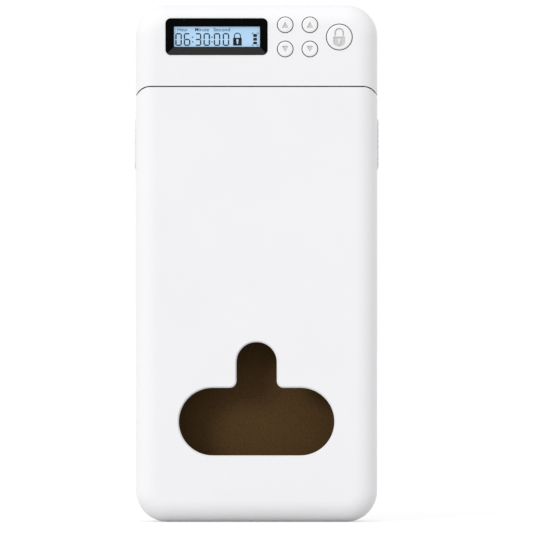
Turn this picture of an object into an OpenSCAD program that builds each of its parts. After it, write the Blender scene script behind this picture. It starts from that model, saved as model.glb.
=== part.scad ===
// Timed lock container: a phone-size box whose cap holds a countdown timer and a
// motor-driven lock. The cap lifts straight up off the container.
// The front faces -Y, +Z is up, and the origin is the bottom centre of the whole object.

/* [Body] */
// Width across the sides, without the grips
body_w = 93; // [84:1:110]
// Depth from the front face to the back face
body_d = 25; // [24:1:32]
// Height from the base to the top of the cap
body_h = 199; // [190:1:220]
// Radius of the four corners in front view
corner_r = 12; // [10:0.5:14]
// Radius of the long rounded edges
edge_r = 8; // [6:0.5:8.5]
// Wall of the outer shells
shell_wall = 2; // [1.6:0.1:2.4]
// Width of the tongue that joins the shell halves
lip_w = 0.95; // [0.7:0.05:1.1]
// Depth of the tongue that joins the shell halves
lip_depth = 1; // [0.6:0.1:2]

/* [Seam] */
// Height of the cap above the seam
cap_h = 31.4; // [31:0.1:34]
// Gap of the seam
seam_gap = 0.45; // [0.3:0.05:0.8]
// How far in from each side the seam starts to fall
seam_run = 5.5; // [5.3:0.1:7]
// Radius of the curve where the seam starts to fall
seam_r = 5.8; // [4:0.1:6]
// Slope of the falling end of the seam, in degrees
seam_slope = 64; // [45:1:65]

/* [Window] */
// Height of the middle of the window's wide part
window_z = 38.7; // [34:0.1:60]
// Width of the window's wide part
window_w = 59.8; // [50:0.2:66]
// Height of the window's wide part
window_h = 26; // [20:0.5:30]
// Width of the neck above the wide part
neck_w = 15.5; // [12:0.5:18]
// Height of the top of the neck
neck_top_z = 69.3; // [66:0.1:90]
// Fillet between neck and wide part
neck_fillet_r = 2.6; // [1.5:0.1:3.5]
// Bevel round the front of the window
window_bevel = 0.55; // [0.3:0.05:0.9]
// How far the window in the sleeve is larger all round
sleeve_window_margin = 0.8; // [0.4:0.1:1.5]

/* [Grips] */
// Distance from the seam down to the middle of the side grips
grip_drop = 22; // [20.5:0.1:28]
// Length of a grip
grip_h = 20.6; // [16:0.2:24]
// Width of a grip, front to back
grip_w = 8.8; // [7:0.2:9]
// How far a grip stands out from the side
grip_proud = 0.5; // [0.3:0.1:1]
// Depth of the recess that a grip is glued into
grip_recess = 0.6; // [0.4:0.1:0.9]
// Taper at each end of a grip
grip_taper = 1.6; // [1:0.1:3]
// Number of grooves across a grip
groove_count = 7; // [3:1:8]
// Width of a groove
groove_w = 0.7; // [0.4:0.1:1]
// Depth of a groove
groove_depth = 0.15; // [0.1:0.05:0.4]

/* [Sleeve and pads] */
// Distance from the side of the body to the phone bay
bay_side = 6.5; // [6.5:0.1:9.5]
// Wall of the inner sleeve
sleeve_wall = 1.3; // [1:0.1:1.5]
// Clearance between the sleeve and the front and back of the shells and cap
sleeve_clearance = 0.3; // [0.25:0.05:0.4]
// Radius of the sleeve's long edges
sleeve_edge_r = 4; // [3:0.5:5]
// Radius of the sleeve's bottom corners in front view
sleeve_corner_r = 9; // [8.5:0.5:11]
// Clearance under the sleeve, filled by the seat ribs
sleeve_lift = 1.2; // [0.8:0.1:2]
// Length of the collar above the seam
collar_h = 7; // [5:0.5:8]
// Thickness of the foam pad on the back of the bay
back_pad_t = 1.5; // [1:0.5:3]
// Distance from the side of the bay to the back pad
back_pad_side = 6; // [5:0.5:15]
// Height of the lower edge of the back pad
back_pad_z0 = 14; // [13:1:30]
// Distance from the seam down to the upper edge of the back pad
back_pad_drop = 9.6; // [7:0.1:50]
// Corner radius of the back pad
back_pad_r = 6; // [2:0.5:10]
// Thickness of the foam cushion in the bottom of the bay
base_cushion_t = 4; // [3:0.5:6]
// Clearance round a soft piece
soft_clearance = 0.25; // [0.2:0.05:0.5]

/* [Strikers] */
// Thickness of the steel striker plates
striker_t = 1.2; // [1:0.1:1.4]
// Distance from the front and back of the body to a striker's edges
striker_edge = 6.5; // [6.5:0.1:7]
// Width of a striker beside its bolt window
striker_cheek = 2.2; // [1.8:0.1:2.4]
// Distance from the seam down to the lower end of a striker
striker_drop = 43.6; // [42:0.1:57]
// Distances from the seam down to the two rows of striker screws
striker_screw_drop = [37.6, 17.6];
// Distance of the striker screws from a striker's edge
striker_screw_edge = 2.5; // [2.3:0.1:3]
// How far the striker reaches above the bolt
striker_tip = 3.4; // [2:0.1:3.6]
// Height of the ledge that closes the shell round the strikers
ledge_t = 1.7; // [1:0.1:2.5]
// Depth of the ledge below the side end of the seam
ledge_drop = 0.5; // [0.3:0.1:1.5]

/* [Base plate and lock] */
// Thickness of the cap's base plate
plate_t = 2; // [1.6:0.1:2.4]
// Gap between the collar and the base plate, and beside the sliding pieces
slide_gap = 0.3; // [0.3:0.05:0.4]
// Gap above and below the bolts
bolt_float = 0.1; // [0.1:0.05:0.2]
// Thickness of the bolts and the pinion
bolt_t = 1.8; // [1.4:0.1:2]
// Travel of a bolt
bolt_travel = 4; // [3:0.5:4]
// How far a bolt's tip passes the outer face of the striker when locked
bolt_reach = 1.3; // [1:0.1:1.4]
// Chamfer of a bolt's tip
bolt_chamfer = 0.6; // [0.3:0.1:1]
// Gear module of the pinion and the racks
gear_module = 0.5; // [0.45:0.01:0.52]
// Number of teeth on the pinion
pinion_teeth = 12; // [12:2:14]
// Tooth pressure angle, in degrees
pressure_angle = 20; // [18:1:25]
// Backlash at the pitch line, shared by both flanks
backlash = 0.14; // [0.1:0.01:0.2]
// Height of a tooth above the pitch line, in modules
addendum = 0.9; // [0.8:0.05:0.95]
// Depth of a tooth below the pitch line, in modules
dedendum = 1.25; // [1.15:0.05:1.3]
// Diameter of the output shaft
shaft_d = 2; // [1.6:0.1:2.4]
// Radial running clearance of the shaft in its bush
shaft_fit = 0.03; // [0.02:0.01:0.08]
// How far the output shaft goes into the gearbox
shaft_seat = 2; // [1.5:0.1:3]
// Outer diameter of the shaft bush
bush_d = 4; // [3.4:0.1:4.5]
// Length of the shaft bush
bush_l = 1.4; // [1:0.1:1.5]
// Half length of the latch bridge
bridge_x = 12.5; // [11:0.5:14]
// Distance from the front and back of the body to the latch bridge
bridge_side = 3.775; // [3.5:0.005:4.2]
// Wall of the latch bridge's rails
bridge_rail = 2; // [1.8:0.1:2.1]
// Thickness of the latch bridge's top
bridge_t = 1.15; // [0.9:0.05:1.2]
// Diameter of the gearbox and motor
motor_d = 8; // [6:0.5:8]
// Length of the gearbox
gearbox_l = 7.6; // [6:0.1:8]
// Length of the motor
motor_l = 8; // [6:0.1:8]
// Distance from a bolt guide to the striker
guide_clear = 2.4; // [2:0.1:2.6]
// Length of a bolt guide
guide_l = 4.6; // [3:0.1:4.8]

/* [Screws] */
// Shank diameter of the small screws
screw_d = 1.6; // [1.4:0.1:1.8]
// Head diameter of the small screws
screw_head_d = 3.2; // [2.8:0.1:3.4]
// Shank diameter of the screws of the latch bridge
latch_screw_d = 1.2; // [1:0.1:1.3]
// Head diameter of the screws of the latch bridge
latch_screw_head_d = 2.4; // [2:0.1:2.6]
// Radial clearance of a screw in its hole
screw_fit = 0.05; // [0.03:0.01:0.1]
// Outer diameter of the screw bosses in the cap
boss_d = 4.2; // [4:0.1:4.4]
// Distance of the corner bosses from the side of the body
boss_side = 8.5; // [8.2:0.1:8.7]
// Distance of the corner bosses from the front and back of the body
boss_face = 3.9; // [3.7:0.05:4]
// Height of the corner bosses
boss_h = 3.3; // [3:0.1:3.4]

/* [Display] */
// Distance from the left side of the body to the bezel
bezel_side = 11.5; // [11:0.1:13]
// Distance from the bezel to the middle of the first column of buttons
bezel_to_buttons = 6.8; // [5:0.1:8]
// Height of the bezel
bezel_h = 14.1; // [12.5:0.1:14.3]
// Corner radius of the bezel
bezel_r = 2; // [1:0.1:2.5]
// Height of the middle of the display above the seam
display_rise = 19.15; // [18.8:0.05:20]
// How far the bezel stands out from the front
bezel_proud = 0.3; // [0.1:0.1:0.5]
// Depth of the recess for the bezel's flange
bezel_recess = 0.8; // [0.5:0.1:1.2]
// Width of the bezel's flange outside its neck
bezel_flange = 1.2; // [0.8:0.1:1.6]
// Width of the bezel's left and right borders
bezel_border_x = 2.9; // [2.6:0.1:4]
// Width of the bezel's upper and lower borders
bezel_border_z = 3.05; // [2.8:0.05:3.6]
// Flat rim round the bezel, outside its sloping borders
bezel_rim = 0.6; // [0.4:0.1:1]
// How far the bezel's borders slope in to the glass
bezel_slope = 0.9; // [0.5:0.1:1]
// Wall of the bezel's neck
neck_wall = 0.8; // [0.6:0.1:1]
// Thickness of the lens
lens_t = 0.8; // [0.5:0.1:1]
// Thickness of the LCD panel
lcd_t = 1.6; // [1.2:0.1:1.8]
// Fit of the glass in the bezel
glass_fit = 0.1; // [0.05:0.05:0.2]
// Height of the contact strip under the LCD's lower edge
strip_h = 1.2; // [0.8:0.1:1.5]

/* [Buttons] */
// How far the buttons stand out from the front
button_proud = 0.6; // [0.5:0.1:1]
// Travel of a button
button_travel = 0.5; // [0.3:0.05:0.55]
// Diameter of the four small buttons
small_button_d = 5.8; // [5.5:0.1:6.6]
// Diameter of the lock button
lock_button_d = 9.7; // [9:0.1:10.6]
// Radial gap round a button
button_gap = 0.3; // [0.2:0.05:0.3]
// Rounding of a button's edge
button_round = 0.4; // [0.2:0.05:0.5]
// Width of the flange that keeps a button in
button_flange = 0.55; // [0.4:0.05:0.6]
// Thickness of the flange
button_flange_t = 0.6; // [0.5:0.1:0.8]
// Height of a small button's flange, which is flat above and below
small_flange_h = 3.6; // [3.2:0.1:3.7]
// How far the ring that a flange rests on stands off the shell wall
button_seat = 0.5; // [0.4:0.05:0.6]
// Distances of the two columns of small buttons from the right side of the body
button_side = [35.5, 26];
// Heights of the lower and upper small buttons above the seam
button_rise = [14.4, 23.7];
// Distance of the lock button from the right side of the body
lock_side = 14.7; // [14.5:0.1:14.9]
// Height of the lock button above the seam
lock_rise = 19; // [18.8:0.1:20]

/* [Electronics] */
// Distance from the front face to the front of the board
board_depth = 5.4; // [5.3:0.05:5.6]
// Thickness of the board
board_t = 1.2; // [0.8:0.1:1.3]
// Distance from the side of the body to the board's main part
board_side = 12.1; // [11.7:0.1:12.5]
// Clearance between the latch bridge and the board
board_lift = 0.2; // [0.2:0.05:0.3]
// Height of the board
board_h = 14.9; // [14.7:0.1:15]
// Width of a switch body
switch_w = 3.4; // [3:0.1:3.5]
// Height of a switch body
switch_h = 1; // [0.9:0.05:1]
// Diameter of a switch plunger
plunger_d = 2; // [1.6:0.1:2.4]
// Clearance of a plunger in its switch
plunger_fit = 0.1; // [0.05:0.05:0.15]
// Distance from the left side of the body to the battery cell
cell_side = 13.5; // [13:0.1:15]
// Distance from the middle to the battery cell
cell_inner = 8; // [7.5:0.1:9]
// Height of the battery cell
cell_h = 12.6; // [10:0.1:13]
// Thickness of the battery cell
cell_t = 5.6; // [4:0.1:6]
// Thickness of the foam tape behind the battery
tape_t = 0.5; // [0.4:0.1:0.8]
// Margin of the battery round the tape
tape_margin = 2.5; // [1:0.5:4]
// Clearance between the latch bridge and the battery
cell_lift = 0.4; // [0.3:0.1:1]
// Distance from the right side of the body to the charging socket
socket_side = 34.5; // [33.5:0.5:36.5]
// Width of the charging socket
socket_w = 8.9; // [8.9:0.1:9]
// Thickness of the charging socket
socket_t = 3.2; // [3.1:0.1:3.3]
// Wall of the charging socket
socket_wall = 0.3; // [0.2:0.05:0.4]
// Thickness of the tongue inside the charging socket
socket_tongue_t = 0.7; // [0.6:0.05:0.8]
// Length of the charging socket
socket_l = 7.3; // [6:0.1:8]
// Depth of the socket's mouth below the top of the cap
socket_drop = 0.8; // [0.5:0.1:1.2]
// Clearance round the socket in the cap
socket_gap = 0.25; // [0.2:0.05:0.4]
// Diameter of the buzzer
buzzer_d = 9; // [8:0.5:10]
// Height of the buzzer
buzzer_h = 4; // [3:0.5:5]
// Distance from the right side of the body to the buzzer
buzzer_side = 21.5; // [20.5:0.1:22]
// Distance from the left side of the body to the controller chip
chip_side = 22.5; // [21:0.1:25]
// Width of the controller chip
chip_w = 7; // [5:0.1:8]
// Distance from the left side of the body to the crystal
crystal_side = 16; // [15:0.1:17]
// Length and diameter of the crystal
crystal = [6, 2];
// Diameter of the leads
lead_d = 0.9; // [0.7:0.1:1]

/* [Hidden] */
$fn = 64;
eps = 0.01;
// How far a rib or boss runs into the wall that carries it
root = 0.6;

// Body planes, with the bounding box centred front to back
front_y = (button_proud - body_d) / 2;
back_y = front_y + body_d;
mid_y = (front_y + back_y) / 2;
side_x = body_w / 2;
inner_x = side_x - shell_wall;
inner_front_y = front_y + shell_wall;
inner_back_y = back_y - shell_wall;
inner_top_z = body_h - shell_wall;

// Seam, and what hangs from it
seam_z = body_h - cap_h;
grip_z = seam_z - grip_drop;
back_pad_z1 = seam_z - back_pad_drop;
striker_z0 = seam_z - striker_drop;
seam_turn_x = side_x - seam_run;
seam_side_z = seam_z - seam_r * (1 - cos(seam_slope))
  - (seam_run - seam_r * sin(seam_slope)) * tan(seam_slope);

// Sleeve and collar
bay_w = body_w - 2 * bay_side;
back_pad_w = bay_w - 2 * back_pad_side;
sleeve_x = bay_w / 2 + sleeve_wall;
sleeve_d = body_d - 2 * (shell_wall + sleeve_clearance);
sleeve_z0 = shell_wall + sleeve_lift;
collar_top_z = seam_z + collar_h;
bay_back_y = mid_y + sleeve_d / 2 - sleeve_wall;
bay_floor_z = sleeve_z0 + sleeve_wall;

// Striker and ledge
striker_x = sleeve_x + 0.1;
striker_outer_x = striker_x + striker_t;
striker_w = body_d - 2 * striker_edge;
striker_screw_y = striker_w / 2 - striker_screw_edge;
bolt_w = striker_w - 2 * (striker_cheek + slide_gap);
guide_x = striker_x - guide_clear - guide_l;
ledge_top_z = seam_side_z - ledge_drop;

// Base plate, lock layer and bridge, from the collar up
plate_z0 = collar_top_z + slide_gap;
plate_z1 = plate_z0 + plate_t;
bolt_z0 = plate_z1 + bolt_float;
bolt_z1 = bolt_z0 + bolt_t;
bridge_z0 = bolt_z1 + bolt_float + 0.05;
bridge_z1 = bridge_z0 + bridge_t;
striker_z1 = bolt_z1 + striker_tip;
locked_x = striker_outer_x + bolt_reach;
open_x = locked_x - bolt_travel;

// Rack and pinion
pitch_r = gear_module * pinion_teeth / 2;
tip_r = pitch_r + addendum * gear_module;
root_r = pitch_r - dedendum * gear_module;
base_r = pitch_r * cos(pressure_angle);
tooth_pitch = PI * gear_module;
rack_root_y = pitch_r + dedendum * gear_module;
rack_tip_y = pitch_r - addendum * gear_module;
bridge_y = body_d / 2 - bridge_side;
rail_y = bridge_y - bridge_rail;
rack_back_y = rail_y - slide_gap;
arm_x = tip_r + 1.5;
arm_wide_end_x = guide_x - slide_gap - bolt_travel;

// Screws
boss_x = side_x - boss_side;
boss_y = body_d / 2 - boss_face;
bridge_screw = [bridge_x - 3, rail_y + bridge_rail / 2];

// Display, between the left side and the buttons
hour_x = side_x - button_side[0];
minute_x = side_x - button_side[1];
lock_x = side_x - lock_side;
bezel_w = hour_x - bezel_to_buttons - bezel_side + side_x;
display_x = hour_x - bezel_to_buttons - bezel_w / 2;
lcd_view_w = bezel_w - 2 * bezel_border_x;
lcd_view_h = bezel_h - 2 * bezel_border_z;
display_z = seam_z + display_rise;
bezel_face_y = front_y - bezel_proud;
bezel_seat_y = front_y + bezel_recess;
lens_y = bezel_face_y + bezel_slope + 0.1;
lcd_y = lens_y + lens_t;
lcd_back_y = lcd_y + lcd_t;
glass_w = bezel_w - 2 * (bezel_flange + neck_wall + glass_fit);
glass_h = bezel_h - 2 * (bezel_flange + neck_wall + glass_fit);

// Board
board_x = side_x - board_side;
board_y = front_y + board_depth;
board_back_y = board_y + board_t;
board_z0 = bridge_z1 + board_lift;
board_z1 = board_z0 + board_h;
board_tab = [-board_x - 4.2, display_z - 1.9, 8.4];
lock_z = seam_z + lock_rise;
down_z = seam_z + button_rise[0];
up_z = seam_z + button_rise[1];
board_screw_places = [
  [board_tab[0] + 2, board_tab[1] + board_tab[2] / 2],
  [(hour_x + minute_x) / 2, (down_z + up_z) / 2],
  [(minute_x + lock_x) / 2 + 0.6, up_z + 2.6]
];
board_boss_d = 3.4;
button_places = [[hour_x, up_z], [hour_x, down_z], [minute_x, up_z], [minute_x, down_z]];
all_switches = concat(button_places, [[lock_x, lock_z]]);
stem_end_y = board_y - switch_h - button_travel - 0.1;
flange_y = inner_front_y + button_seat + 0.1;

// Battery, gearbox, socket and leads
cell_w = side_x - cell_side - cell_inner;
cell_x = -cell_inner - cell_w / 2;
cell_z0 = bridge_z1 + cell_lift;
cell_back_y = inner_back_y - tape_t;
cell_front_y = cell_back_y - cell_t;
gearbox_z1 = bridge_z1 + gearbox_l;
connector = [5, 2.4, 3];
connector_x = -cell_inner - connector[0] / 2;
socket_x = side_x - socket_side;
connector_z = [board_z0 + 3, board_z0 + 9.6];

// ---------- shared forms ----------

module rounded_rect(w, h, r) {
  square([w, h - 2 * r], center = true);
  square([w - 2 * r, h], center = true);
  for (sx = [-1, 1])
    for (sy = [-1, 1])
      translate([sx * (w / 2 - r), sy * (h / 2 - r)]) circle(r = r);
}

// A flat figure drawn in X and Z, standing between y0 and y1
module between_y(y0, y1) {
  translate([0, y1, 0]) rotate([90, 0, 0]) linear_extrude(y1 - y0) children();
}

// A rounded disc on edge, the corner of a rounded slab
module corner_disc(r, edge, depth) {
  rotate([90, 0, 0]) rotate_extrude() intersection() {
    rounded_rect(2 * r, depth, edge);
    translate([0, -depth / 2]) square([r, depth]);
  }
}

// A slab that is rounded all round at its lower end, at z = 0, and open above
module round_ended(w, d, h, r, edge) {
  for (s = [-1, 1])
    translate([s * (w / 2 - r), 0, r]) corner_disc(r, edge, d);
  translate([0, 0, r]) rotate([0, 90, 0]) linear_extrude(w - 2 * r, center = true)
    rounded_rect(2 * r, d, edge);
  translate([0, 0, r]) linear_extrude(h - r) rounded_rect(w, d, edge);
}

module container_form(inset) {
  translate([0, mid_y, inset]) round_ended(body_w - 2 * inset, body_d - 2 * inset,
    seam_z + 2 - inset, corner_r - inset, edge_r - inset);
}

module cap_form(inset) {
  translate([0, mid_y, body_h - inset]) mirror([0, 0, 1]) round_ended(body_w - 2 * inset,
    body_d - 2 * inset, body_h - inset - seam_side_z + 2, corner_r - inset, edge_r - inset);
}

module sleeve_form(inset, top_z) {
  translate([0, mid_y, sleeve_z0 + inset]) round_ended(2 * (sleeve_x - inset), sleeve_d - 2 * inset,
    top_z - sleeve_z0 - inset, sleeve_corner_r - inset, sleeve_edge_r - inset);
}

// Everything below the seam in front view, grown by a margin: flat, then round, then a straight slope
module below_seam(grow) {
  r = seam_r + grow;
  centre_z = seam_z - seam_r;
  far = seam_run + 2;
  end_z = centre_z + r * cos(seam_slope) - (far - r * sin(seam_slope)) * tan(seam_slope);
  steps = 8;
  right = [
    for (i = [0 : steps]) let (a = seam_slope * i / steps) [seam_turn_x + r * sin(a), centre_z + r * cos(a)],
    [seam_turn_x + far, end_z], [seam_turn_x + far, -1]
  ];
  polygon(concat(right, [for (i = [len(right) - 1 : -1 : 0]) [-right[i][0], right[i][1]]]));
}

module front_half(y = mid_y) {
  translate([-body_w, y - body_d, -eps]) cube([2 * body_w, body_d, body_h + 2]);
}

module rear_half(y = mid_y) {
  translate([-body_w, y, -eps]) cube([2 * body_w, body_d, body_h + 2]);
}

// The joint between shell halves: a band inside the outline, from outer to the inner face
module lip_band(outer) {
  difference() {
    translate([0, body_h / 2]) rounded_rect(body_w - 2 * outer, body_h - 2 * outer, corner_r - outer);
    translate([0, body_h / 2]) rounded_rect(body_w - 2 * shell_wall, body_h - 2 * shell_wall,
      corner_r - shell_wall);
  }
}

module countersunk_hole(length, d = screw_d, head = screw_head_d) {
  translate([0, 0, -eps]) cylinder(h = length + eps, d = d + 2 * screw_fit);
  translate([0, 0, -eps])
    cylinder(h = (head - d) / 2 + eps, d1 = head + 2 * screw_fit, d2 = d + 2 * screw_fit);
}

module countersunk_screw(length, d = screw_d, head = screw_head_d) {
  cylinder(h = length, d = d);
  cylinder(h = (head - d) / 2, d1 = head, d2 = d);
}

// ---------- container ----------

// One solid of the window: a wide stadium with a neck above it, which grows from one margin to another
module window_loft(h, grow0, grow1) {
  end_x = (window_w - window_h) / 2;
  r = window_h / 2;
  neck_r = neck_w / 2;
  neck_z = neck_top_z - neck_r - window_z;
  for (s = [-1, 1])
    translate([s * end_x, 0, 0]) cylinder(h = h, r1 = r + grow0, r2 = r + grow1);
  rotate([90, 0, 90]) linear_extrude(2 * end_x, center = true)
    polygon([[-r - grow0, 0], [r + grow0, 0], [r + grow1, h], [-r - grow1, h]]);
  translate([0, neck_z, 0]) cylinder(h = h, r1 = neck_r + grow0, r2 = neck_r + grow1);
  translate([0, neck_z, 0]) rotate([90, 0, 0]) linear_extrude(neck_z)
    polygon([[-neck_r - grow0, 0], [neck_r + grow0, 0], [neck_r + grow1, h], [-neck_r - grow1, h]]);
  for (s = [-1, 1]) mirror([s < 0 ? 1 : 0, 0, 0]) difference() {
    translate([neck_r - eps, r - eps, 0]) cube([neck_fillet_r, neck_fillet_r, h]);
    translate([neck_r + neck_fillet_r, r + neck_fillet_r, -eps]) cylinder(h = h + 2 * eps,
      r1 = neck_fillet_r - grow0, r2 = neck_fillet_r - grow1);
  }
}

module window_cut(y0, y1, grow0, grow1) {
  translate([0, y1, window_z]) rotate([90, 0, 0]) window_loft(y1 - y0, grow1, grow0);
}

module grip_outline(margin) {
  square([grip_w + 2 * margin, grip_h - grip_w], center = true);
  for (s = [-1, 1])
    translate([0, s * (grip_h - grip_w) / 2]) circle(d = grip_w + 2 * margin);
}

// A solid in the grip's outline, from x0 outwards on the +X side
module grip_prism(x0, t, margin) {
  translate([x0, mid_y, grip_z]) rotate([90, 0, 90]) linear_extrude(t) grip_outline(margin);
}

// The seats inside a container shell: striker bosses, ledge and sleeve ribs
module container_seats() {
  for (sx = [-1, 1]) {
    for (sy = [-1, 1])
      for (drop = striker_screw_drop)
        translate([sx * striker_outer_x, mid_y + sy * striker_screw_y, seam_z - drop]) rotate([0, sx * 90, 0])
          cylinder(h = inner_x - striker_outer_x + root, d = screw_head_d + 1.2);
    difference() {
      intersection() {
        translate([0, mid_y, ledge_top_z - ledge_t]) linear_extrude(ledge_t)
          rounded_rect(2 * (inner_x + root), body_d - 2 * (shell_wall - root), edge_r - shell_wall + root);
        translate([sx > 0 ? striker_x : -side_x, -body_d, 0]) cube([side_x - striker_x, 2 * body_d, body_h]);
      }
      translate([sx * (striker_x + striker_outer_x) / 2, mid_y, seam_z])
        cube([striker_t + 0.4, striker_w + 0.4, body_h], center = true);
    }
    translate([sx * body_w / 5 - 1, mid_y - body_d / 2 + edge_r, shell_wall - root])
      cube([2, body_d - 2 * edge_r, sleeve_lift + root]);
  }
}

module container_bores() {
  for (sx = [-1, 1]) {
    for (sy = [-1, 1])
      for (drop = striker_screw_drop)
        translate([sx * (striker_outer_x - eps), mid_y + sy * striker_screw_y, seam_z - drop])
          rotate([0, sx * 90, 0])
          cylinder(h = inner_x - striker_outer_x + shell_wall / 2, d = screw_d + 2 * screw_fit);
    mirror([sx < 0 ? 1 : 0, 0, 0]) grip_prism(side_x - grip_recess, 2, 0.08);
  }
}

module front_shell() color("white") difference() {
  union() {
    difference() {
      intersection() {
        container_form(0);
        front_half();
        between_y(-body_d, body_d) below_seam(-seam_gap / 2);
      }
      container_form(shell_wall);
    }
    intersection() {
      container_seats();
      front_half();
    }
  }
  between_y(mid_y - lip_depth - 0.1, mid_y + 1) lip_band(shell_wall - lip_w - 0.1);
  container_bores();
  window_cut(front_y + window_bevel, inner_front_y + 1, 0, 0);
  window_cut(front_y - eps, front_y + window_bevel + eps, window_bevel, 0);
}

module rear_shell() color("white") difference() {
  union() {
    difference() {
      intersection() {
        container_form(0);
        rear_half();
        between_y(-body_d, body_d) below_seam(-seam_gap / 2);
      }
      container_form(shell_wall);
    }
    intersection() {
      between_y(mid_y - lip_depth, mid_y + eps) lip_band(shell_wall - lip_w);
      between_y(-body_d, body_d) below_seam(-seam_gap / 2);
    }
    intersection() {
      container_seats();
      rear_half();
    }
  }
  container_bores();
}

// A dark tube with a closed bottom; its rim rises into the cap
module inner_sleeve() color("#3a2c20") difference() {
  union() {
    sleeve_form(0, collar_top_z);
    sleeve_ribs();
  }
  sleeve_form(sleeve_wall, collar_top_z + 1);
  window_cut(front_y, mid_y, sleeve_window_margin, sleeve_window_margin);
}

// Ribs that centre the sleeve between the shell sides, and stops under the shell's ledge
module sleeve_ribs() {
  rib_y = striker_w / 2 + slide_gap;
  rib_z0 = sleeve_z0 + 2 * sleeve_corner_r;
  for (sx = [-1, 1])
    for (sy = [-1, 1]) {
      translate([sx * (sleeve_x + 0.95), mid_y + sy * (rib_y + 0.5), (rib_z0 + striker_z0) / 2])
        cube([2.3, 1, striker_z0 - rib_z0], center = true);
      translate([sx * (sleeve_x + 0.85), mid_y + sy * (rib_y + 0.8), ledge_top_z - ledge_t - 2.1])
        cube([2.1, 1.6, 4], center = true);
    }
}

module grip_right() color("gainsboro") difference() {
  intersection() {
    grip_prism(side_x - grip_recess, grip_recess + grip_proud, 0);
    between_y(-body_d, body_d) polygon([
      [side_x - grip_recess - 1, grip_z - grip_h / 2], [side_x, grip_z - grip_h / 2],
      [side_x + grip_proud, grip_z - grip_h / 2 + grip_taper],
      [side_x + grip_proud, grip_z + grip_h / 2 - grip_taper],
      [side_x, grip_z + grip_h / 2], [side_x - grip_recess - 1, grip_z + grip_h / 2]
    ]);
  }
  groove_step = (grip_h - 2 * grip_taper) / (groove_count + 1);
  for (i = [1 : groove_count])
    translate([side_x + grip_proud - groove_depth, mid_y - grip_w,
      grip_z - grip_h / 2 + grip_taper + i * groove_step - groove_w / 2])
      cube([groove_depth + 1, 2 * grip_w, groove_w]);
}

module grip_left() mirror([1, 0, 0]) grip_right();

module back_pad() color("#42301e")
  translate([0, 0, (back_pad_z0 + back_pad_z1) / 2])
    between_y(bay_back_y - soft_clearance - back_pad_t, bay_back_y - soft_clearance)
      rounded_rect(back_pad_w, back_pad_z1 - back_pad_z0, back_pad_r);

module base_cushion() color("#42301e") intersection() {
  sleeve_form(sleeve_wall + soft_clearance, collar_top_z);
  translate([-side_x, -body_d, 0]) cube([body_w, 2 * body_d, bay_floor_z + soft_clearance + base_cushion_t]);
}

// A steel strip on the outside of the sleeve, with a window for the bolt near its top
module striker_right() color("silver") difference() {
  translate([striker_x, mid_y, 0]) rotate([90, 0, 90]) linear_extrude(striker_t) difference() {
    translate([0, (striker_z0 + striker_z1) / 2]) rounded_rect(striker_w, striker_z1 - striker_z0, 1);
    translate([0, (bolt_z0 + bolt_z1) / 2])
      rounded_rect(bolt_w + 2 * slide_gap, bolt_t + 2 * slide_gap, 0.3);
  }
  for (sy = [-1, 1])
    for (drop = striker_screw_drop)
      translate([striker_x, mid_y + sy * striker_screw_y, seam_z - drop]) rotate([0, 90, 0])
        countersunk_hole(striker_t + 1);
}

module striker_left() mirror([1, 0, 0]) striker_right();

module striker_screws() color("dimgray")
  for (sx = [-1, 1])
    for (sy = [-1, 1])
      for (drop = striker_screw_drop)
        translate([sx * striker_x, mid_y + sy * striker_screw_y, seam_z - drop]) rotate([0, sx * 90, 0])
          countersunk_screw(inner_x - striker_x + shell_wall / 2 - 0.3);

// ---------- cap shells ----------

module cap_bosses(side) {
  for (sx = [-1, 1])
    translate([sx * boss_x, mid_y + side * boss_y, plate_z1]) cylinder(h = boss_h, d = boss_d);
}

module cap_boss_bores(side) {
  for (sx = [-1, 1])
    translate([sx * boss_x, mid_y + side * boss_y, plate_z1 - eps])
      cylinder(h = boss_h - 0.4, d = screw_d + 2 * screw_fit);
}

module cap_shell_wall(side) {
  difference() {
    intersection() {
      cap_form(0);
      if (side < 0) front_half();
      else rear_half();
    }
    cap_form(shell_wall);
    between_y(-body_d, body_d) below_seam(seam_gap / 2);
  }
}

module cap_front_shell() color("white") difference() {
  union() {
    difference() {
      cap_shell_wall(-1);
      between_y(mid_y - lip_depth - 0.1, mid_y + 1) lip_band(shell_wall - lip_w - 0.1);
    }
    cap_bosses(-1);
    for (p = board_screw_places)
      translate([p[0], board_y, p[1]]) rotate([90, 0, 0])
        cylinder(h = board_y - inner_front_y + root, d = board_boss_d);
    for (p = button_places) button_ring(p, small_button_d);
    button_ring([lock_x, lock_z], lock_button_d);
  }
  cap_boss_bores(-1);
  for (p = board_screw_places)
    translate([p[0], board_y + eps, p[1]]) rotate([90, 0, 0])
      cylinder(h = board_y - inner_front_y, d = screw_d + 2 * screw_fit);
  translate([display_x, 0, display_z]) {
    between_y(front_y - 1, bezel_seat_y)
      rounded_rect(bezel_w + 0.1, bezel_h + 0.1, bezel_r + 0.05);
    between_y(front_y, inner_front_y + 1) rounded_rect(bezel_w - 2 * bezel_flange + 0.1,
      bezel_h - 2 * bezel_flange + 0.1, bezel_r - bezel_flange + 0.05);
  }
  for (p = button_places) button_hole(p, small_button_d);
  button_hole([lock_x, lock_z], lock_button_d);
  translate([socket_x, board_back_y + socket_t / 2, inner_top_z - 1])
    linear_extrude(shell_wall + 2)
      rounded_rect(socket_w + 2 * socket_gap, socket_t + 2 * socket_gap, socket_t / 2 + socket_gap - eps);
}

module cap_rear_shell() color("white") difference() {
  union() {
    cap_shell_wall(1);
    difference() {
      between_y(mid_y - lip_depth, mid_y + eps) lip_band(shell_wall - lip_w);
      between_y(-body_d, body_d) below_seam(seam_gap / 2);
    }
    cap_bosses(1);
    battery_cradle();
  }
  cap_boss_bores(1);
}

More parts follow.
